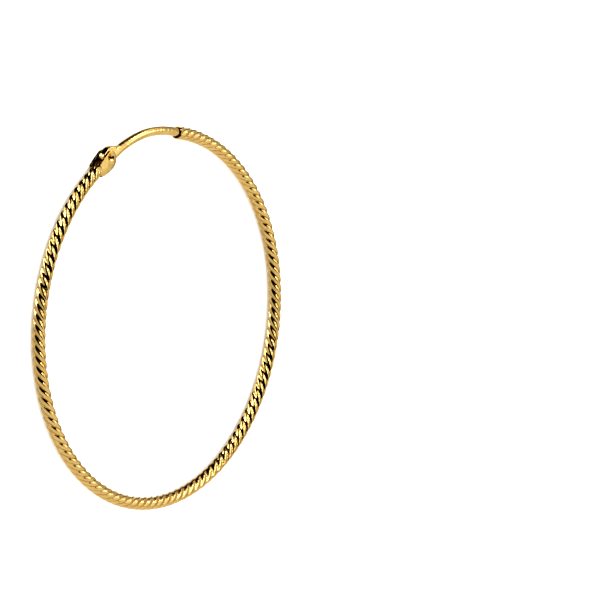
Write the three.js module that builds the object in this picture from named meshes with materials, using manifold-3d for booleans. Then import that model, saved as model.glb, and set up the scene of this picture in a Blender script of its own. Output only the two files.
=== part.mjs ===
// A hoop earring: a hollow twisted tube bent to a circle, a folded hinge fitting soldered to one end,
// a rivet through the fitting's two ears, and an ear wire that swings on it and plugs into the open mouth.
// Millimetres, +Z up. The hoop lies on its side: the ring's axis is Z, and the fitting rests on Z = 0.
import * as THREE from 'three';
import * as BufferGeometryUtils from 'three/addons/utils/BufferGeometryUtils.js';
import Module from 'manifold-3d';

const wasm = await Module();
wasm.setup();

// Hoop
const HOOP_DIAMETER = 40;
const TUBE_DIAMETER = 1.4;
const BORE_DIAMETER = 1.12;
const MOUTH_ANGLE = 69.2;
const TUBE_END_ANGLE = 110.1;
const BORE_END_WALL = 0.6;

// Diamond-cut twist of the tube
const RIDGE_COUNT = 5;
const RIDGE_DEPTH = 0.06;
const TWIST_LEAD = 5.1;
const STEPS_PER_LEAD = 15;
const BORE_SIDES = 10;
const BORE_STEP_LENGTH = 1.3;

// Hinge fitting, a strip folded into a U with two ears
const FITTING_THICKNESS = 1.44;
const EAR_SHEET = 0.22;
const EAR_LENGTH = 3.05;
const EAR_WIDTH = 1.75;
const FITTING_OVERLAP = 0.05;
const TUBE_INTO_FITTING = 0.3;

// Rivet
const PIN_DIAMETER = 0.5;
const PIN_RECESS = 0.07;
const PIN_ALONG = 2.28;
const PIN_ACROSS = 0.3;
const RUNNING_CLEARANCE = 0.03;
const COUNTERSINK_DIAMETER = 0.96;
const COUNTERSINK_DEPTH = 0.14;

// Ear wire
const WIRE_DIAMETER = 0.92;
const TONGUE_SIDE_GAP = 0.12;
const TONGUE_LENGTH = 3.0;
const TONGUE_WIDTH = 1.9;
const WIRE_BOW = 0.24;
const WIRE_ENGAGEMENT = 1.0;

// The curves' fineness
const CURVE_DIVISIONS = 6;
const PIN_SIDES = 20;
const WIRE_SIDES = 10;
const WIRE_STEP_LENGTH = 0.75;
const FOLD_SIDES = 12;

// Cutters: how far they start before or run past a face, their size as a multiple of what they cut,
// and the distance at which two corners count as one
const BORE_LEAD = 0.5;
const CUT_PAST = 0.05;
const OUTLINE_REACH = 2;
const SLOT_REACH = 3;
const MERGE_DISTANCE = 1e-5;

// The ear's outline as shares of its length and of its width, from the fold round the tip and back
const EAR_OUTLINE = [
  { along: -0.04, across: 0.26 },
  { along: 0.24, across: 0.40 },
  { along: 0.52, across: 0.47 },
  { along: 0.80, across: 0.50 },
  { along: 0.95, across: 0.38 },
  { along: 1.00, across: 0.12 },
  { along: 0.94, across: -0.22 },
  { along: 0.79, across: -0.45 },
  { along: 0.52, across: -0.50 },
  { along: 0.24, across: -0.42 },
  { along: -0.04, across: -0.27 },
];

// The tongue's outline round the pin, as shares of the tongue's length and width from the pin's axis
const TONGUE_OUTLINE = [
  { along: -0.25, across: 0.00 },
  { along: -0.17, across: 0.26 },
  { along: 0.02, across: 0.34 },
  { along: 0.26, across: 0.34 },
  { along: 0.46, across: 0.18 },
  { along: 0.62, across: -0.04 },
  { along: 0.78, across: -0.20 },
  { along: 0.78, across: -0.53 },
  { along: 0.55, across: -0.50 },
  { along: 0.30, across: -0.44 },
  { along: 0.02, across: -0.38 },
  { along: -0.17, across: -0.26 },
];

// The wire's middle line: its place between the tongue and the mouth, and its bow as a share of WIRE_BOW
const WIRE_ROUTE = [
  { share: 0.20, bow: -0.30 },
  { share: 0.27, bow: 0.10 },
  { share: 0.35, bow: 0.62 },
  { share: 0.49, bow: 1.10 },
  { share: 0.64, bow: 1.38 },
  { share: 0.80, bow: 1.05 },
  { share: 0.92, bow: 0.55 },
  { share: 1.00, bow: 0.20 },
];

const ringRadius = (HOOP_DIAMETER - TUBE_DIAMETER) / 2;
const tubeRadius = TUBE_DIAMETER / 2;
const boreRadius = BORE_DIAMETER / 2;
const ridgeAngle = 2 * Math.PI / RIDGE_COUNT;
const gapAngle = TUBE_END_ANGLE - MOUTH_ANGLE;
const slotWidth = FITTING_THICKNESS - 2 * EAR_SHEET;
const tongueThickness = slotWidth - 2 * TONGUE_SIDE_GAP;
const pinLength = FITTING_THICKNESS - 2 * PIN_RECESS;
const holeRadius = PIN_DIAMETER / 2 + RUNNING_CLEARANCE;
const restHeight = FITTING_THICKNESS / 2;

const gold = new THREE.MeshStandardMaterial({ color: 0xd9a441, metalness: 1, roughness: 0.18 });
const goldWire = new THREE.MeshStandardMaterial({ color: 0xd6a545, metalness: 1, roughness: 0.22 });

// A closed three.js geometry as a solid that can be joined and cut
function toSolid(geometry) {
  const bare = geometry.clone();
  bare.deleteAttribute('normal');
  bare.deleteAttribute('uv');
  const merged = BufferGeometryUtils.mergeVertices(bare, MERGE_DISTANCE);
  const vertProperties = new Float32Array(merged.attributes.position.array);
  const triVerts = new Uint32Array(merged.index.array);
  return new wasm.Manifold(new wasm.Mesh({ numProp: 3, vertProperties, triVerts }));
}

function toGeometry(solid) {
  const mesh = solid.getMesh();
  const geometry = new THREE.BufferGeometry();
  geometry.setAttribute('position', new THREE.BufferAttribute(new Float32Array(mesh.vertProperties), 3));
  geometry.setIndex(new THREE.BufferAttribute(new Uint32Array(mesh.triVerts), 1));
  geometry.computeVertexNormals();
  return geometry;
}

// A point of the ring's plane, at an angle in degrees and an offset outwards from the tube's middle line
function ringPoint(degrees, outwards) {
  const angle = THREE.MathUtils.degToRad(degrees);
  const radius = ringRadius + outwards;
  return new THREE.Vector3(radius * Math.cos(angle), radius * Math.sin(angle), 0);
}

// The frame of the hinge fitting: X along the tube's end towards the mouth, Y outwards, Z up
function fittingFrame() {
  const angle = THREE.MathUtils.degToRad(TUBE_END_ANGLE);
  const outwards = new THREE.Vector3(Math.cos(angle), Math.sin(angle), 0);
  const along = new THREE.Vector3(Math.sin(angle), -Math.cos(angle), 0);
  const up = new THREE.Vector3(0, 0, 1);
  const matrix = new THREE.Matrix4().makeBasis(along, outwards, up);
  matrix.setPosition(outwards.clone().multiplyScalar(ringRadius));
  return matrix;
}

function fromFitting(geometry) {
  return geometry.applyMatrix4(fittingFrame());
}

// A length of the tube, straightened and then bent clockwise from the mouth on the ring's circle
function bendToRing(geometry, start) {
  const position = geometry.attributes.position;
  for (let i = 0; i < position.count; i += 1) {
    const along = start + position.getZ(i);
    const angle = THREE.MathUtils.degToRad(MOUTH_ANGLE) - along / ringRadius;
    const radius = ringRadius + position.getX(i);
    position.setXYZ(i, radius * Math.cos(angle), radius * Math.sin(angle), position.getY(i));
  }
  return geometry;
}

// Left-handed twist of a straight length about its own axis
function twist(geometry) {
  const position = geometry.attributes.position;
  for (let i = 0; i < position.count; i += 1) {
    const turn = -2 * Math.PI * position.getZ(i) / TWIST_LEAD;
    const x = position.getX(i);
    const y = position.getY(i);
    position.setX(i, x * Math.cos(turn) - y * Math.sin(turn));
    position.setY(i, x * Math.sin(turn) + y * Math.cos(turn));
  }
  return geometry;
}

function flutedSection() {
  const shape = new THREE.Shape();
  for (let i = 0; i < 2 * RIDGE_COUNT; i += 1) {
    const radius = i % 2 === 0 ? tubeRadius : tubeRadius - RIDGE_DEPTH;
    const angle = i * ridgeAngle / 2;
    const place = [radius * Math.cos(angle), radius * Math.sin(angle)];
    if (i === 0) shape.moveTo(...place);
    else shape.lineTo(...place);
  }
  shape.closePath();
  return shape;
}

function roundSection(radius, sides) {
  const shape = new THREE.Shape();
  for (let i = 0; i < sides; i += 1) {
    const angle = (i + 0.5) * 2 * Math.PI / sides;
    const place = [radius * Math.cos(angle), radius * Math.sin(angle)];
    if (i === 0) shape.moveTo(...place);
    else shape.lineTo(...place);
  }
  shape.closePath();
  return shape;
}

function tubeLength() {
  return ringRadius * THREE.MathUtils.degToRad(360 - gapAngle);
}

function twistedTube() {
  const depth = tubeLength() + TUBE_INTO_FITTING;
  const steps = Math.round(depth / TWIST_LEAD * STEPS_PER_LEAD);
  const straight = new THREE.ExtrudeGeometry(flutedSection(), { depth, steps, bevelEnabled: false });
  return toSolid(bendToRing(twist(straight), 0));
}

function tubeBore() {
  const depth = BORE_LEAD + tubeLength() - BORE_END_WALL;
  const steps = Math.round(depth / BORE_STEP_LENGTH);
  const section = roundSection(boreRadius, BORE_SIDES);
  const straight = new THREE.ExtrudeGeometry(section, { depth, steps, bevelEnabled: false });
  return toSolid(bendToRing(straight, -BORE_LEAD));
}

// A smooth closed outline through a table's rows, sized by a length and a width
function outlineShape(rows, length, width, along, across) {
  const points = rows.map((row) => new THREE.Vector3(
    along + row.along * length,
    across + row.across * width,
    0,
  ));
  const curve = new THREE.CatmullRomCurve3(points, true, 'centripetal');
  const smooth = curve.getPoints(rows.length * CURVE_DIVISIONS / 2).slice(0, -1);
  return new THREE.Shape(smooth.map((point) => new THREE.Vector2(point.x, point.y)));
}

function plate(shape, thickness) {
  const geometry = new THREE.ExtrudeGeometry(shape, { depth: thickness, bevelEnabled: false });
  return geometry.translate(0, 0, -thickness / 2);
}

// The side view of the folded strip, or of the slot inside it: straight sides and a half-round end
function foldSide(halfHeight, middle, end) {
  const shape = new THREE.Shape();
  shape.moveTo(end, -halfHeight);
  shape.lineTo(end, halfHeight);
  for (let i = 0; i <= FOLD_SIDES; i += 1) {
    const angle = Math.PI / 2 + Math.PI * i / FOLD_SIDES;
    shape.lineTo(middle + halfHeight * Math.cos(angle), halfHeight * Math.sin(angle));
  }
  shape.closePath();
  return shape;
}

function foldSolid(halfHeight, end, width) {
  const middle = FITTING_THICKNESS / 2 - FITTING_OVERLAP;
  const geometry = plate(foldSide(halfHeight, middle, end), width);
  geometry.rotateX(Math.PI / 2);
  return toSolid(fromFitting(geometry));
}

function pinCylinder(radius, height) {
  const geometry = new THREE.CylinderGeometry(radius, radius, height, PIN_SIDES);
  geometry.rotateX(Math.PI / 2);
  geometry.translate(PIN_ALONG, PIN_ACROSS, 0);
  return toSolid(fromFitting(geometry));
}

// A cone that widens from the pin's hole to the countersink's edge, just past one ear's face
function countersink(side) {
  const slope = (COUNTERSINK_DIAMETER / 2 - holeRadius) / COUNTERSINK_DEPTH;
  const wide = COUNTERSINK_DIAMETER / 2 + slope * CUT_PAST;
  const height = COUNTERSINK_DEPTH + CUT_PAST;
  const geometry = new THREE.CylinderGeometry(wide, holeRadius, height, PIN_SIDES);
  geometry.rotateX(side * Math.PI / 2);
  const middle = FITTING_THICKNESS / 2 + CUT_PAST - height / 2;
  geometry.translate(PIN_ALONG, PIN_ACROSS, side * middle);
  return toSolid(fromFitting(geometry));
}

function hingeFitting() {
  const wide = OUTLINE_REACH * EAR_WIDTH;
  const end = OUTLINE_REACH * EAR_LENGTH;
  const ears = outlineShape(EAR_OUTLINE, EAR_LENGTH, EAR_WIDTH, 0, 0);
  const outline = toSolid(fromFitting(plate(ears, OUTLINE_REACH * FITTING_THICKNESS)));
  return foldSolid(FITTING_THICKNESS / 2, end, wide).intersect(outline);
}

function buildHoop() {
  const slot = foldSolid(slotWidth / 2, SLOT_REACH * EAR_LENGTH, SLOT_REACH * EAR_WIDTH);
  return twistedTube()
    .add(hingeFitting())
    .subtract(slot)
    .subtract(tubeBore())
    .subtract(pinCylinder(holeRadius, OUTLINE_REACH * FITTING_THICKNESS))
    .subtract(countersink(1))
    .subtract(countersink(-1));
}

function wireCurve() {
  const points = WIRE_ROUTE.map((row) => ringPoint(
    TUBE_END_ANGLE - row.share * gapAngle,
    row.bow * WIRE_BOW,
  ));
  const past = THREE.MathUtils.radToDeg(WIRE_ENGAGEMENT / ringRadius);
  const last = WIRE_ROUTE[WIRE_ROUTE.length - 1];
  points.push(ringPoint(MOUTH_ANGLE - past, last.bow * WIRE_BOW));
  return new THREE.CatmullRomCurve3(points, false, 'centripetal');
}

function buildEarWire() {
  const curve = wireCurve();
  const steps = Math.round(curve.getLength() / WIRE_STEP_LENGTH);
  const section = roundSection(WIRE_DIAMETER / 2, WIRE_SIDES);
  const wire = toSolid(new THREE.ExtrudeGeometry(section, { steps, extrudePath: curve }));
  const shape = outlineShape(TONGUE_OUTLINE, TONGUE_LENGTH, TONGUE_WIDTH, PIN_ALONG, PIN_ACROSS);
  const tongue = toSolid(fromFitting(plate(shape, tongueThickness)));
  return wire.add(tongue).subtract(pinCylinder(holeRadius, OUTLINE_REACH * FITTING_THICKNESS));
}

function namedMesh(name, solid, material) {
  const mesh = new THREE.Mesh(toGeometry(solid), material);
  mesh.name = name;
  return mesh;
}

const earring = new THREE.Group();
earring.position.z = restHeight;
earring.add(namedMesh('hoop', buildHoop(), gold));
earring.add(namedMesh('ear_wire', buildEarWire(), goldWire));
earring.add(namedMesh('hinge_pin', pinCylinder(PIN_DIAMETER / 2, pinLength), gold));

export default earring;
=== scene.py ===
"""A gold hoop earring lying on a white table, seen from the side and above.

Lengths are in metres and angles in degrees unless a name says otherwise.
The hoop's ring lies flat, parallel to the XY plane, with the Z axis through its centre.
"""

import math

import bmesh
import bpy
import numpy as np
from mathutils import Matrix, Vector

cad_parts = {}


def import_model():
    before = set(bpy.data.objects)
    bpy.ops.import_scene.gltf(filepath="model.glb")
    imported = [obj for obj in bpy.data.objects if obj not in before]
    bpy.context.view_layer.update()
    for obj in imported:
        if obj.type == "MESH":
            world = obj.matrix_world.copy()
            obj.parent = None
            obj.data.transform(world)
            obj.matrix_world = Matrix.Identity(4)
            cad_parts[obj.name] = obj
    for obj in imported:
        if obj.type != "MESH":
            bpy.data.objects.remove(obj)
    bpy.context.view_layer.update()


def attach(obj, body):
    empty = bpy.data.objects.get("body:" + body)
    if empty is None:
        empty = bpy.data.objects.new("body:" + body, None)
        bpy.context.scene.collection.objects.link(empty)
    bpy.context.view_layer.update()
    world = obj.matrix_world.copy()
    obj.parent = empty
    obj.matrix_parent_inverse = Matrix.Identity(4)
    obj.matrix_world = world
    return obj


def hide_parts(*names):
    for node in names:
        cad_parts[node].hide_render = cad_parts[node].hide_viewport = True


MM = 0.001
TURN = 2 * math.pi

# The hoop's tube
RING_RADIUS = 19.3 * MM
REST_HEIGHT = 0.72 * MM
TUBE_RADIUS = 0.697 * MM
GROOVE_RADIUS = 0.597 * MM
BORE_RADIUS = 0.56 * MM
MOUTH_ANGLE = 69.2
TUBE_END_ANGLE = 110.1
RIDGES = 5
TWIST_LEAD = 5.1 * MM
TUBE_SIDES = 60
TUBE_STEPS = 1300
BORE_STEPS = 160
BORE_END_WALL = 0.6 * MM
TUBE_INTO_FITTING = 0.3 * MM
MOUTH_EDGE = 0.03 * MM
BORE_FLARE = 0.015 * MM

# The folded hinge fitting, with its outline as shares of its length and of its width
FITTING_THICKNESS = 1.44 * MM
EAR_SHEET = 0.22 * MM
EAR_LENGTH = 3.05 * MM
EAR_WIDTH = 1.75 * MM
FOLD_MIDDLE = 0.67 * MM
FOLD_STEPS = 24
EAR_EDGE = 0.1 * MM
EAR_OUTLINE = [
    (-0.04, 0.26), (0.24, 0.40), (0.52, 0.47), (0.80, 0.50), (0.95, 0.38), (1.00, 0.12),
    (0.94, -0.22), (0.79, -0.45), (0.52, -0.50), (0.24, -0.42), (-0.04, -0.27),
]

# How far the fold and its slot reach, as multiples of the fitting's size
FOLD_REACH = 2
SLOT_REACH = 3

# The rivet, and the curve of its dished ends as shares of the dish's radius and depth
PIN_RADIUS = 0.25 * MM
PIN_HALF_LENGTH = 0.65 * MM
PIN_ALONG = 2.28 * MM
PIN_ACROSS = 0.3 * MM
PIN_SIDES = 48
PIN_DISH = 0.2 * MM
PIN_RIM = 0.03 * MM
PIN_RIM_DROP = 0.02 * MM
DISH_CURVE = [(0.0, 1.0), (0.4, 0.93), (0.75, 0.55), (1.0, 0.1)]
HOLE_RADIUS = 0.28 * MM
SINK_RADIUS = 0.48 * MM
SINK_DEPTH = 0.14 * MM
PAST_FACE = 0.05 * MM

# The ear wire: its tongue's outline as shares of length and width from the rivet, and its route
# as shares of the gap's angle and of the bow
WIRE_RADIUS = 0.46 * MM
WIRE_SIDES = 40
WIRE_STEPS = 12
WIRE_BOW = 0.24 * MM
WIRE_ENGAGEMENT = 1.0 * MM
TONGUE_HALF_THICKNESS = 0.38 * MM
TONGUE_LENGTH = 3.0 * MM
TONGUE_WIDTH = 1.9 * MM
TONGUE_EDGE = 0.16 * MM
TONGUE_OUTLINE = [
    (-0.25, 0.00), (-0.17, 0.26), (0.02, 0.34), (0.26, 0.34), (0.46, 0.18), (0.62, -0.04),
    (0.78, -0.20), (0.78, -0.53), (0.55, -0.50), (0.30, -0.44), (0.02, -0.38), (-0.17, -0.26),
]
WIRE_ROUTE = [
    (0.20, -0.30), (0.27, 0.10), (0.35, 0.62), (0.49, 1.10), (0.64, 1.38),
    (0.80, 1.05), (0.92, 0.55), (1.00, 0.20),
]

# Outlines, softened edges, and the angles from which an edge is left sharp
OUTLINE_STEPS = 8
EDGE_SEGMENTS = 3
EDGE_ANGLE = 30
TUBE_SHARP = 50
SHEET_SHARP = 32
PIN_SHARP = 40

# The gold's noise, in features per metre, and the depth of its marks
TONE_GRAIN = 900.0
TONE_DETAIL = 5.0
TONE_SPAN = (0.35, 0.65)
WEAR_GRAIN = 2600.0
WEAR_DETAIL = 6.0
WEAR_SPAN = (0.3, 0.7)
WEAR_DEPTH = 0.02 * MM
DENT_GRAIN = 3200.0
DENT_DEPTH = 0.05 * MM

# Painted shade inside the hinge's fold and in the rivet's dished ends: its colour, its ragged edge and how
# fast it fades
RECESS_SHADE_COLOUR = (0.05, 0.024, 0.008, 1)
RECESS_SHADE_GRAIN = 2200.0
RECESS_SHADE_SPREAD = 0.3 * MM
RECESS_SHADE_FADE = 0.08 * MM

# The same for the painted shade along the bottom of the twist's grooves
GROOVE_SHADE_COLOUR = (0.47, 0.28, 0.09, 1)
GROOVE_SHADE_GRAIN = 2500.0
GROOVE_SHADE_SPREAD = 0.024 * MM
GROOVE_SHADE_FADE = 0.0144 * MM

# The table
TABLE_HALF = 1.5
TABLE_SHADES = ((0.93, 0.93, 0.93), (0.96, 0.96, 0.96))
TABLE_GRAIN = 40.0
TABLE_ROUGHNESS = 0.9
TABLE_LIGHT = 4.0
TABLE_LIGHT_ANGLE = 160

# The studio's light all round, and areas of it that are dimmer or brighter than the rest.
# Each area: compass from the view's far side, height, half width, level.
LIGHT_LEVEL = 0.60
AREA_SOFTNESS = 3.0
LIGHT_AREAS = [
    (-172.0, -71.9, 25.8, 0.15),
    (168.4, 33.2, 36.1, 0.00),
    (53.5, 69.9, 28.1, 0.00),
    (-166.6, 59.0, 20.7, 0.00),
    (123.6, -3.3, 33.2, 0.00),
    (113.7, -19.1, 38.0, 0.00),
    (50.5, 48.9, 35.5, 0.76),
    (86.5, 55.3, 3.6, 7.53),
    (-143.1, -16.4, 31.0, 0.45),
    (80.6, 52.7, 4.2, 4.61),
    (-179.5, -57.7, 27.8, 0.54),
    (-128.9, 84.3, 17.7, 0.00),
    (65.3, 75.1, 3.9, 4.65),
    (122.3, 37.1, 4.0, 0.49),
    (144.4, -53.3, 9.6, 2.74),
    (62.5, 26.3, 3.6, 7.43),
    (92.7, 10.3, 6.8, 0.63),
    (152.4, -21.8, 13.0, 4.22),
    (136.4, -29.8, 6.0, 4.04),
    (15.4, 5.4, 32.5, 0.38),
    (120.9, -45.9, 7.2, 3.92),
    (68.4, -19.1, 9.6, 0.80),
    (1.6, -27.4, 26.7, 0.71),
    (72.4, -50.2, 12.2, 0.00),
    (44.0, -18.0, 13.0, 0.14),
    (66.0, -22.0, 15.0, 0.03),
    (74.0, 4.0, 10.0, 0.03),
    (4.0, -10.0, 9.0, 0.12),
    (33.0, 40.0, 6.0, 2.60),
    (92.0, 33.0, 5.0, 5.00),
]

# The camera: the ring's turn, distance, tilt and roll as it sees them, and the ring's place in the picture
RING_TURN = 24.4
CAMERA_DISTANCE = 463.2 * MM
CAMERA_HEIGHT_ANGLE = 38.71
CAMERA_ROLL = 7.08
SENSOR_WIDTH = 36.0
FRAME_PIXELS = 612
FOCAL_PIXELS = 4468.56
CENTRE_PIXEL = (160.89, 318.35)
CLIP_START = 0.01
CLIP_END = 10.0


# Curves and closed meshes


def smooth_curve(points, closed, per_span):
    """A centripetal Catmull-Rom curve through points, as an array of points."""
    pts = [np.array(p, float) for p in points]
    count = len(pts)
    spans = count if closed else count - 1

    def at(i):
        if closed:
            return pts[i % count]
        if i < 0:
            return 2 * pts[0] - pts[1]
        if i >= count:
            return 2 * pts[-1] - pts[-2]
        return pts[i]

    out = []
    for i in range(spans):
        p0, p1, p2, p3 = at(i - 1), at(i), at(i + 1), at(i + 2)
        t1 = math.sqrt(np.linalg.norm(p1 - p0))
        t2 = t1 + math.sqrt(np.linalg.norm(p2 - p1))
        t3 = t2 + math.sqrt(np.linalg.norm(p3 - p2))
        for k in range(per_span):
            t = t1 + (t2 - t1) * k / per_span
            a1 = (t1 - t) / t1 * p0 + t / t1 * p1
            a2 = (t2 - t) / (t2 - t1) * p1 + (t - t1) / (t2 - t1) * p2
            a3 = (t3 - t) / (t3 - t2) * p2 + (t - t2) / (t3 - t2) * p3
            b1 = (t2 - t) / t2 * a1 + t / t2 * a2
            b2 = (t3 - t) / (t3 - t1) * a2 + (t - t1) / (t3 - t1) * a3
            out.append((t2 - t) / (t2 - t1) * b1 + (t - t1) / (t2 - t1) * b2)
    if not closed:
        out.append(pts[-1])
    return np.array(out)


def mesh_object(name, vertices, faces):
    mesh = bpy.data.meshes.new(name)
    mesh.from_pydata([tuple(v) for v in vertices], [], [tuple(f) for f in faces])
    edit = bmesh.new()
    edit.from_mesh(mesh)
    bmesh.ops.recalc_face_normals(edit, faces=edit.faces)
    edit.to_mesh(mesh)
    edit.free()
    mesh.update()
    obj = bpy.data.objects.new(name, mesh)
    bpy.context.scene.collection.objects.link(obj)
    return obj


def ring_faces(rings, sides, first=0):
    """Quads between neighbouring rings of vertices that follow one another."""
    faces = []
    for i in range(rings - 1):
        low = first + i * sides
        for j in range(sides):
            k = (j + 1) % sides
            faces.append((low + j, low + k, low + sides + k, low + sides + j))
    return faces


def loft(name, rings):
    """A closed mesh through rings of the same number of points, with flat ends."""
    sides = len(rings[0])
    faces = ring_faces(len(rings), sides)
    last = (len(rings) - 1) * sides
    faces.append(tuple(range(sides)))
    faces.append(tuple(last + j for j in range(sides)))
    return mesh_object(name, np.concatenate(rings), faces)


def prism(name, outline, low, high):
    rings = [np.array([(x, y, z) for x, y in outline]) for z in (low, high)]
    return loft(name, rings)


def lathe(name, profile, sides):
    """A closed solid round Z; the profile's first and last points lie on the axis."""
    vertices = [(0, 0, profile[0][1])]
    for radius, height in profile[1:-1]:
        for j in range(sides):
            angle = TURN * j / sides
            vertices.append((radius * math.cos(angle), radius * math.sin(angle), height))
    vertices.append((0, 0, profile[-1][1]))
    faces = ring_faces(len(profile) - 2, sides, first=1)
    last = len(vertices) - 1
    for j in range(sides):
        k = (j + 1) % sides
        faces.append((0, 1 + k, 1 + j))
        faces.append((last, last - sides + j, last - sides + k))
    return mesh_object(name, vertices, faces)


def apply_modifiers(obj):
    graph = bpy.context.evaluated_depsgraph_get()
    mesh = bpy.data.meshes.new_from_object(obj.evaluated_get(graph))
    obj.modifiers.clear()
    obj.data = mesh


def cut(obj, other, operation):
    """Joins, cuts or intersects obj with other, which is then removed."""
    modifier = obj.modifiers.new("cut", "BOOLEAN")
    modifier.operation = operation
    modifier.solver = "EXACT"
    modifier.object = other
    apply_modifiers(obj)
    bpy.data.objects.remove(other)


def soften_edges(obj, width):
    modifier = obj.modifiers.new("edges", "BEVEL")
    modifier.width = width
    modifier.segments = EDGE_SEGMENTS
    modifier.limit_method = "ANGLE"
    modifier.angle_limit = math.radians(EDGE_ANGLE)
    modifier.use_clamp_overlap = True
    apply_modifiers(obj)


def shade_smooth(obj, sharp_angle):
    obj.data.shade_smooth()
    obj.data.set_sharp_from_angle(angle=math.radians(sharp_angle))


# The hoop


def fitting_matrix():
    """X along the tube's end towards the mouth, Y outwards, Z up, from a point of the tube's middle line."""
    angle = math.radians(TUBE_END_ANGLE)
    outwards = Vector((math.cos(angle), math.sin(angle), 0))
    along = Vector((math.sin(angle), -math.cos(angle), 0))
    place = outwards * RING_RADIUS + Vector((0, 0, REST_HEIGHT))
    return Matrix((
        (along.x, outwards.x, 0, place.x),
        (along.y, outwards.y, 0, place.y),
        (along.z, outwards.z, 1, place.z),
        (0, 0, 0, 1),
    ))


def rivet_place():
    return Matrix.Translation((PIN_ALONG, PIN_ACROSS, 0))


def ring_place(along, outwards, up):
    """Points at a distance along the tube from its mouth, outwards and up from its middle line."""
    angle = math.radians(MOUTH_ANGLE) - along / RING_RADIUS
    radius = RING_RADIUS + outwards
    return np.stack([radius * np.cos(angle), radius * np.sin(angle), REST_HEIGHT + up], axis=-1)


def ridge_section():
    """The tube's section before it is twisted: a wave of rounded ridges and hollow grooves."""
    angle = TURN * np.arange(TUBE_SIDES) / TUBE_SIDES
    middle = (TUBE_RADIUS + GROOVE_RADIUS) / 2
    radius = middle + (TUBE_RADIUS - middle) * np.cos(RIDGES * angle)
    return np.column_stack([radius * np.cos(angle), radius * np.sin(angle)])


def tube_ring(section, along, shrink=0.0):
    turn = -TURN * along / TWIST_LEAD
    x, y = section[:, 0] * (1 - shrink), section[:, 1] * (1 - shrink)
    across = x * math.cos(turn) - y * math.sin(turn)
    up = x * math.sin(turn) + y * math.cos(turn)
    return ring_place(along, across, up)


def bore_ring(along, radius):
    angle = TURN * np.arange(TUBE_SIDES) / TUBE_SIDES - TURN * along / TWIST_LEAD
    return ring_place(along, radius * np.cos(angle), radius * np.sin(angle))


def make_tube():
    """The twisted tube in one loft: up the bore, round the mouth's edge and back along the outside."""
    section = ridge_section()
    gap = math.radians(TUBE_END_ANGLE - MOUTH_ANGLE)
    length = RING_RADIUS * (TURN - gap)
    outer_end = length + TUBE_INTO_FITTING
    bore_end = length - BORE_END_WALL
    rings = [bore_ring(s, BORE_RADIUS) for s in np.linspace(bore_end, MOUTH_EDGE, BORE_STEPS)]
    rings.append(bore_ring(0.0, BORE_RADIUS + BORE_FLARE))
    rings.append(tube_ring(section, 0.0, shrink=MOUTH_EDGE / TUBE_RADIUS))
    rings += [tube_ring(section, s) for s in np.linspace(MOUTH_EDGE, outer_end, TUBE_STEPS)]
    tube = loft("hoop_tube", rings)
    shade_smooth(tube, TUBE_SHARP)
    return tube


def fold_profile(half_height, end):
    """The side view of the folded strip or of its slot: straight sides and a half-round end."""
    points = [(end, -half_height), (end, half_height)]
    for i in range(FOLD_STEPS + 1):
        angle = math.pi / 2 + math.pi * i / FOLD_STEPS
        points.append((FOLD_MIDDLE + half_height * math.cos(angle), half_height * math.sin(angle)))
    return points


def fold_solid(half_height, reach):
    width = reach * EAR_WIDTH
    solid = prism("fold", fold_profile(half_height, reach * EAR_LENGTH), -width, width)
    solid.data.transform(Matrix.Rotation(math.pi / 2, 4, "X"))
    return solid


def pin_hole():
    radius, end = HOLE_RADIUS, FITTING_THICKNESS
    solid = lathe("hole", [(0, -end), (radius, -end), (radius, end), (0, end)], PIN_SIDES)
    solid.data.transform(rivet_place())
    return solid


def countersink(side):
    face = FITTING_THICKNESS / 2
    slope = (SINK_RADIUS - HOLE_RADIUS) / SINK_DEPTH
    wide = SINK_RADIUS + slope * PAST_FACE
    low, high = face - SINK_DEPTH, face + PAST_FACE
    profile = [(0, low), (HOLE_RADIUS, low), (wide, high), (0, high)]
    if side < 0:
        profile = [(r, -h) for r, h in reversed(profile)]
    solid = lathe("sink", profile, PIN_SIDES)
    solid.data.transform(rivet_place())
    return solid


def make_fitting():
    rows = [(a * EAR_LENGTH, b * EAR_WIDTH) for a, b in EAR_OUTLINE]
    outline = smooth_curve(rows, True, OUTLINE_STEPS)
    fitting = prism("hinge_fitting", outline, -FITTING_THICKNESS, FITTING_THICKNESS)
    cut(fitting, fold_solid(FITTING_THICKNESS / 2, FOLD_REACH), "INTERSECT")
    cut(fitting, fold_solid(FITTING_THICKNESS / 2 - EAR_SHEET, SLOT_REACH), "DIFFERENCE")
    soften_edges(fitting, EAR_EDGE)
    cut(fitting, pin_hole(), "DIFFERENCE")
    cut(fitting, countersink(1), "DIFFERENCE")
    cut(fitting, countersink(-1), "DIFFERENCE")
    fitting.data.transform(fitting_matrix())
    shade_smooth(fitting, SHEET_SHARP)
    return fitting


# The rivet and the ear wire


def make_pin():
    """The rivet, whose ends are dished inside a narrow rounded rim."""
    top = PIN_HALF_LENGTH
    dish = [(a * (PIN_RADIUS - PIN_RIM), top - b * PIN_DISH) for a, b in DISH_CURVE]
    half = dish + [(PIN_RADIUS - PIN_RIM / 2, top), (PIN_RADIUS, top - PIN_RIM_DROP)]
    profile = [(r, -h) for r, h in half] + [(r, h) for r, h in reversed(half)]
    pin = lathe("hinge_rivet", profile, PIN_SIDES)
    pin.data.transform(fitting_matrix() @ rivet_place())
    shade_smooth(pin, PIN_SHARP)
    return pin


def wire_middle():
    """The wire's middle line on the ring's plane, from inside the tongue to its tip in the mouth."""
    gap = TUBE_END_ANGLE - MOUTH_ANGLE
    places = [(math.radians(TUBE_END_ANGLE - share * gap), bow) for share, bow in WIRE_ROUTE]
    tip = math.radians(MOUTH_ANGLE) - WIRE_ENGAGEMENT / RING_RADIUS
    places.append((tip, WIRE_ROUTE[-1][1]))
    points = []
    for angle, bow in places:
        radius = RING_RADIUS + bow * WIRE_BOW
        points.append((radius * math.cos(angle), radius * math.sin(angle)))
    return smooth_curve(points, False, WIRE_STEPS)


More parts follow.
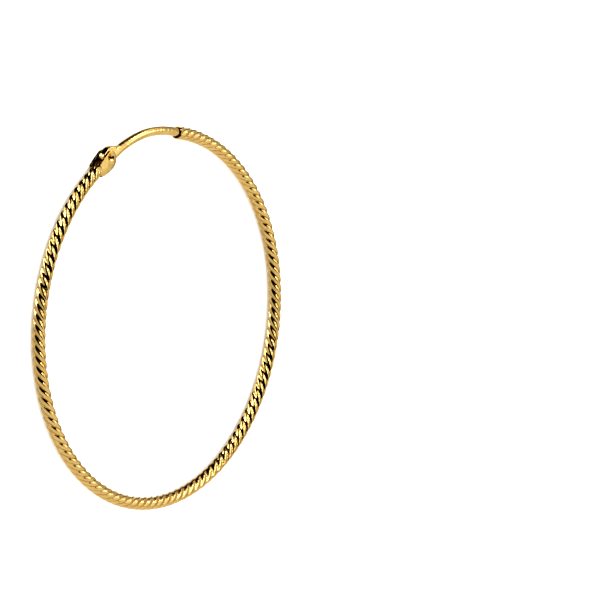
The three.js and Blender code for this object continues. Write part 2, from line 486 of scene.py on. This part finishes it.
def make_wire_rod():
    middle = wire_middle()
    tangent = np.gradient(middle, axis=0)
    tangent /= np.linalg.norm(tangent, axis=1)[:, None]
    side = np.stack([-tangent[:, 1], tangent[:, 0]], axis=1)
    angle = TURN * np.arange(WIRE_SIDES) / WIRE_SIDES
    rings = []
    for place, across in zip(middle, side):
        flat = place + np.outer(WIRE_RADIUS * np.cos(angle), across)
        rings.append(np.column_stack([flat, REST_HEIGHT + WIRE_RADIUS * np.sin(angle)]))
    return loft("ear_wire_piece", rings)


def make_wire():
    rows = [(PIN_ALONG + a * TONGUE_LENGTH, PIN_ACROSS + b * TONGUE_WIDTH) for a, b in TONGUE_OUTLINE]
    outline = smooth_curve(rows, True, OUTLINE_STEPS)
    tongue = prism("tongue", outline, -TONGUE_HALF_THICKNESS, TONGUE_HALF_THICKNESS)
    soften_edges(tongue, TONGUE_EDGE)
    tongue.data.transform(fitting_matrix())
    wire = make_wire_rod()
    cut(wire, tongue, "UNION")
    hole = pin_hole()
    hole.data.transform(fitting_matrix())
    cut(wire, hole, "DIFFERENCE")
    shade_smooth(wire, SHEET_SHARP)
    return wire


# Nodes


def node(tree, kind, **values):
    made = tree.nodes.new(kind)
    for key, value in values.items():
        setattr(made, key, value)
    return made


def feed(tree, socket, value):
    """Links value to socket if it comes from a node, and else sets it."""
    if isinstance(value, bpy.types.NodeSocket):
        tree.links.new(value, socket)
    else:
        socket.default_value = value


def math_node(tree, operation, *values):
    made = node(tree, "ShaderNodeMath", operation=operation)
    for socket, value in zip(made.inputs, values):
        feed(tree, socket, value)
    return made.outputs["Value"]


def length_node(tree, vector):
    made = node(tree, "ShaderNodeVectorMath", operation="LENGTH")
    feed(tree, made.inputs[0], vector)
    return made.outputs["Value"]


def noise_node(tree, place, scale, detail=2.0):
    made = node(tree, "ShaderNodeTexNoise")
    feed(tree, made.inputs["Vector"], place)
    feed(tree, made.inputs["Scale"], scale)
    feed(tree, made.inputs["Detail"], detail)
    return made.outputs["Fac"]


def range_node(tree, value, low, high, results=(0.0, 1.0), kind="LINEAR"):
    made = node(tree, "ShaderNodeMapRange", interpolation_type=kind)
    feed(tree, made.inputs["Value"], value)
    feed(tree, made.inputs["From Min"], low)
    feed(tree, made.inputs["From Max"], high)
    feed(tree, made.inputs["To Min"], results[0])
    feed(tree, made.inputs["To Max"], results[1])
    return made.outputs["Result"]


def ramp_node(tree, value, span, colours):
    made = node(tree, "ShaderNodeValToRGB")
    for element, position, colour in zip(made.color_ramp.elements, span, colours):
        element.position = position
        element.color = (*colour, 1)
    feed(tree, made.inputs["Fac"], value)
    return made.outputs["Color"]


def bump_node(tree, height, strength, depth, normal=None):
    made = node(tree, "ShaderNodeBump")
    feed(tree, made.inputs["Height"], height)
    feed(tree, made.inputs["Strength"], strength)
    feed(tree, made.inputs["Distance"], depth)
    if normal is not None:
        feed(tree, made.inputs["Normal"], normal)
    return made.outputs["Normal"]


# Materials


def darkened(tree, place, colour, dark, distance, end, grain, spread, fade):
    """The colour with painted shade where distance is less than end, with a ragged edge."""
    ragged = math_node(tree, "MULTIPLY_ADD", noise_node(tree, place, grain), spread, distance)
    factor = range_node(tree, ragged, end - fade, end, kind="SMOOTHSTEP")
    blend = node(tree, "ShaderNodeMix", data_type="RGBA")
    feed(tree, blend.inputs["Factor"], factor)
    feed(tree, blend.inputs[6], dark)
    feed(tree, blend.inputs[7], colour)
    return blend.outputs[2]


def height_from_middle(tree, place):
    parts = node(tree, "ShaderNodeSeparateXYZ")
    feed(tree, parts.inputs["Vector"], place)
    return math_node(tree, "SUBTRACT", parts.outputs["Z"], REST_HEIGHT)


def paint_recess_shade(tree, place, colour, reach):
    """Painted shade in patches nearer than reach to the middle plane, darkening the recesses."""
    distance = math_node(tree, "ABSOLUTE", height_from_middle(tree, place))
    end = reach + RECESS_SHADE_SPREAD / 2
    return darkened(tree, place, colour, RECESS_SHADE_COLOUR, distance, end,
                    RECESS_SHADE_GRAIN, RECESS_SHADE_SPREAD, RECESS_SHADE_FADE)


def paint_groove_shade(tree, place, colour):
    """Painted shade: a darker line along the bottom of each groove."""
    flat = node(tree, "ShaderNodeVectorMath", operation="MULTIPLY")
    feed(tree, flat.inputs[0], place)
    feed(tree, flat.inputs[1], (1, 1, 0))
    sideways = math_node(tree, "SUBTRACT", length_node(tree, flat.outputs["Vector"]), RING_RADIUS)
    section = node(tree, "ShaderNodeCombineXYZ")
    feed(tree, section.inputs["X"], sideways)
    feed(tree, section.inputs["Y"], height_from_middle(tree, place))
    radius = length_node(tree, section.outputs["Vector"])
    return darkened(tree, place, colour, GROOVE_SHADE_COLOUR, radius, GROOVE_RADIUS + GROOVE_SHADE_SPREAD,
                    GROOVE_SHADE_GRAIN, GROOVE_SHADE_SPREAD, GROOVE_SHADE_FADE)


def new_material(name):
    """A material, its node tree, its shader and the place that its nodes start from."""
    material = bpy.data.materials.new(name)
    material.use_nodes = True
    tree = material.node_tree
    place = node(tree, "ShaderNodeTexCoord").outputs["Object"]
    return material, tree, tree.nodes["Principled BSDF"], place


def gold_material(name, deep, pale, roughness, scratch, recess_shade_reach=None, groove_shade=False):
    """Polished gold: its colour and shine vary a little, with fine polishing marks and small dents, and
    painted shade in its recesses or grooves where asked.
    """
    material, tree, shader, place = new_material(name)
    shader.inputs["Metallic"].default_value = 1.0
    tone = noise_node(tree, place, TONE_GRAIN, TONE_DETAIL)
    colour = ramp_node(tree, tone, TONE_SPAN, (deep, pale))
    if recess_shade_reach is not None:
        # Painted shade darkens the recesses near the middle plane
        colour = paint_recess_shade(tree, place, colour, recess_shade_reach)
    if groove_shade:
        # Painted shade darkens the bottom of the grooves
        colour = paint_groove_shade(tree, place, colour)
    feed(tree, shader.inputs["Base Color"], colour)

    wear = noise_node(tree, place, WEAR_GRAIN, WEAR_DETAIL)
    feed(tree, shader.inputs["Roughness"], range_node(tree, wear, *WEAR_SPAN, roughness))
    dents = bump_node(tree, noise_node(tree, place, DENT_GRAIN), scratch, DENT_DEPTH)
    marks = bump_node(tree, wear, scratch / 2, WEAR_DEPTH, dents)
    feed(tree, shader.inputs["Normal"], marks)
    return material


def table_material():
    material, tree, shader, place = new_material("white_table")
    shader.inputs["Roughness"].default_value = TABLE_ROUGHNESS
    grain = noise_node(tree, place, TABLE_GRAIN)
    feed(tree, shader.inputs["Base Color"], ramp_node(tree, grain, (0.0, 1.0), TABLE_SHADES))
    return material


# The table, the light and the camera


def make_table():
    half = TABLE_HALF
    corners = [(-half, -half, 0), (half, -half, 0), (half, half, 0), (-half, half, 0)]
    table = mesh_object("table", corners, [(0, 1, 2, 3)])
    table.data.materials.append(table_material())
    table.visible_glossy = False


def direction(compass, height):
    level = math.cos(math.radians(height))
    far = level * math.cos(math.radians(compass))
    left = level * math.sin(math.radians(compass))
    back = Matrix.Rotation(math.radians(-RING_TURN), 3, "Z")
    return back @ Vector((far, left, math.sin(math.radians(height))))


def make_light():
    """The studio all round: one level, and over it each area's own level inside a soft edge."""
    world = bpy.data.worlds.new("studio")
    bpy.context.scene.world = world
    world.use_nodes = True
    tree = world.node_tree
    background = tree.nodes["Background"]
    place = node(tree, "ShaderNodeTexCoord").outputs["Generated"]
    strength = LIGHT_LEVEL
    for compass, height, half_width, level in LIGHT_AREAS:
        dot = node(tree, "ShaderNodeVectorMath", operation="DOT_PRODUCT")
        feed(tree, dot.inputs[0], place)
        feed(tree, dot.inputs[1], direction(compass, height))
        outside = math.cos(math.radians(half_width + AREA_SOFTNESS))
        inside = math.cos(math.radians(half_width - AREA_SOFTNESS))
        edge = range_node(tree, dot.outputs["Value"], outside, inside, kind="SMOOTHSTEP")
        mix = node(tree, "ShaderNodeMix", data_type="FLOAT")
        feed(tree, mix.inputs["Factor"], edge)
        feed(tree, mix.inputs["A"], strength)
        feed(tree, mix.inputs["B"], level)
        strength = mix.outputs["Result"]
    background.inputs["Color"].default_value = (1.0, 1.0, 1.0, 1)
    feed(tree, background.inputs["Strength"], strength)


def make_table_light():
    """A wide soft light from above that brightens the table and doesn't show in the metal."""
    data = bpy.data.lights.new("table_light", "SUN")
    data.energy = TABLE_LIGHT
    data.angle = math.radians(TABLE_LIGHT_ANGLE)
    light = bpy.data.objects.new("table_light", data)
    light.visible_glossy = False
    bpy.context.scene.collection.objects.link(light)


def camera_pose():
    """The camera's place and axes, from the ring's place, size and tilt in the picture."""
    half = FRAME_PIXELS / 2
    right, down, ahead = Vector((1, 0, 0)), Vector((0, 1, 0)), Vector((0, 0, 1))
    sight = (right * (CENTRE_PIXEL[0] - half) + down * (CENTRE_PIXEL[1] - half)) / FOCAL_PIXELS + ahead
    sight.normalize()
    side = down.cross(sight).normalized()
    below = sight.cross(side)
    roll = math.radians(CAMERA_ROLL)
    major = below * math.cos(roll) - side * math.sin(roll)
    minor = side * math.cos(roll) + below * math.sin(roll)
    height = math.radians(CAMERA_HEIGHT_ANGLE)
    away = minor * math.sin(height) + sight * math.cos(height)
    left = -major
    up = away.cross(left)
    to_ring = Matrix((away, left, up))
    place = to_ring @ (sight * -CAMERA_DISTANCE)
    axes = to_ring @ Matrix((right, -down, -ahead)).transposed()
    back = Matrix.Rotation(math.radians(-RING_TURN), 4, "Z")
    return Matrix.Translation((0, 0, REST_HEIGHT)) @ back @ Matrix.Translation(place) @ axes.to_4x4()


def make_camera():
    data = bpy.data.cameras.new("camera")
    data.sensor_width = SENSOR_WIDTH
    data.lens = FOCAL_PIXELS * SENSOR_WIDTH / FRAME_PIXELS
    data.clip_start = CLIP_START
    data.clip_end = CLIP_END
    camera = bpy.data.objects.new("camera", data)
    camera.matrix_world = camera_pose()
    bpy.context.scene.collection.objects.link(camera)
    bpy.context.scene.camera = camera


def set_colours():
    settings = bpy.context.scene.view_settings
    settings.view_transform = "Standard"
    settings.look = "High Contrast"


# The dressed earring


def dress(obj, material, body):
    obj.data.materials.clear()
    obj.data.materials.append(material)
    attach(obj, body)


def dress_hoop():
    tube_gold = gold_material(
        "twisted_gold", deep=(0.86, 0.58, 0.21), pale=(0.93, 0.67, 0.28),
        # painted shade along the bottom of the grooves
        roughness=(0.02, 0.06), scratch=0.3, groove_shade=True,
    )
    tube = make_tube()
    dress(tube, tube_gold, "hoop_body")
    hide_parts("hoop")
    fitting_gold = gold_material(
        "fitting_gold", deep=(0.86, 0.58, 0.20), pale=(0.92, 0.66, 0.27),
        roughness=(0.04, 0.14), scratch=0.35,
        # painted shade inside the fold
        recess_shade_reach=FITTING_THICKNESS / 2 - 0.75 * EAR_SHEET,
    )
    fitting = make_fitting()
    dress(fitting, fitting_gold, "hoop_body")
    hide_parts("hoop")


def dress_pin():
    pin_gold = gold_material(
        "pin_gold", deep=(0.85, 0.54, 0.16), pale=(0.91, 0.61, 0.22),
        roughness=(0.05, 0.12), scratch=0.2,
        # painted shade in the rivet's dished ends
        recess_shade_reach=PIN_HALF_LENGTH - 0.3 * PIN_DISH,
    )
    pin = make_pin()
    dress(pin, pin_gold, "hoop_body")
    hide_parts("hinge_pin")


def dress_wire():
    wire_gold = gold_material(
        "wire_gold", deep=(0.85, 0.58, 0.21), pale=(0.91, 0.66, 0.27),
        roughness=(0.03, 0.10), scratch=0.5,
    )
    wire = make_wire()
    dress(wire, wire_gold, "wire_body")
    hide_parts("ear_wire")


def main():
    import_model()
    dress_hoop()
    dress_pin()
    dress_wire()
    make_table()
    make_light()
    make_table_light()
    make_camera()
    set_colours()


main()
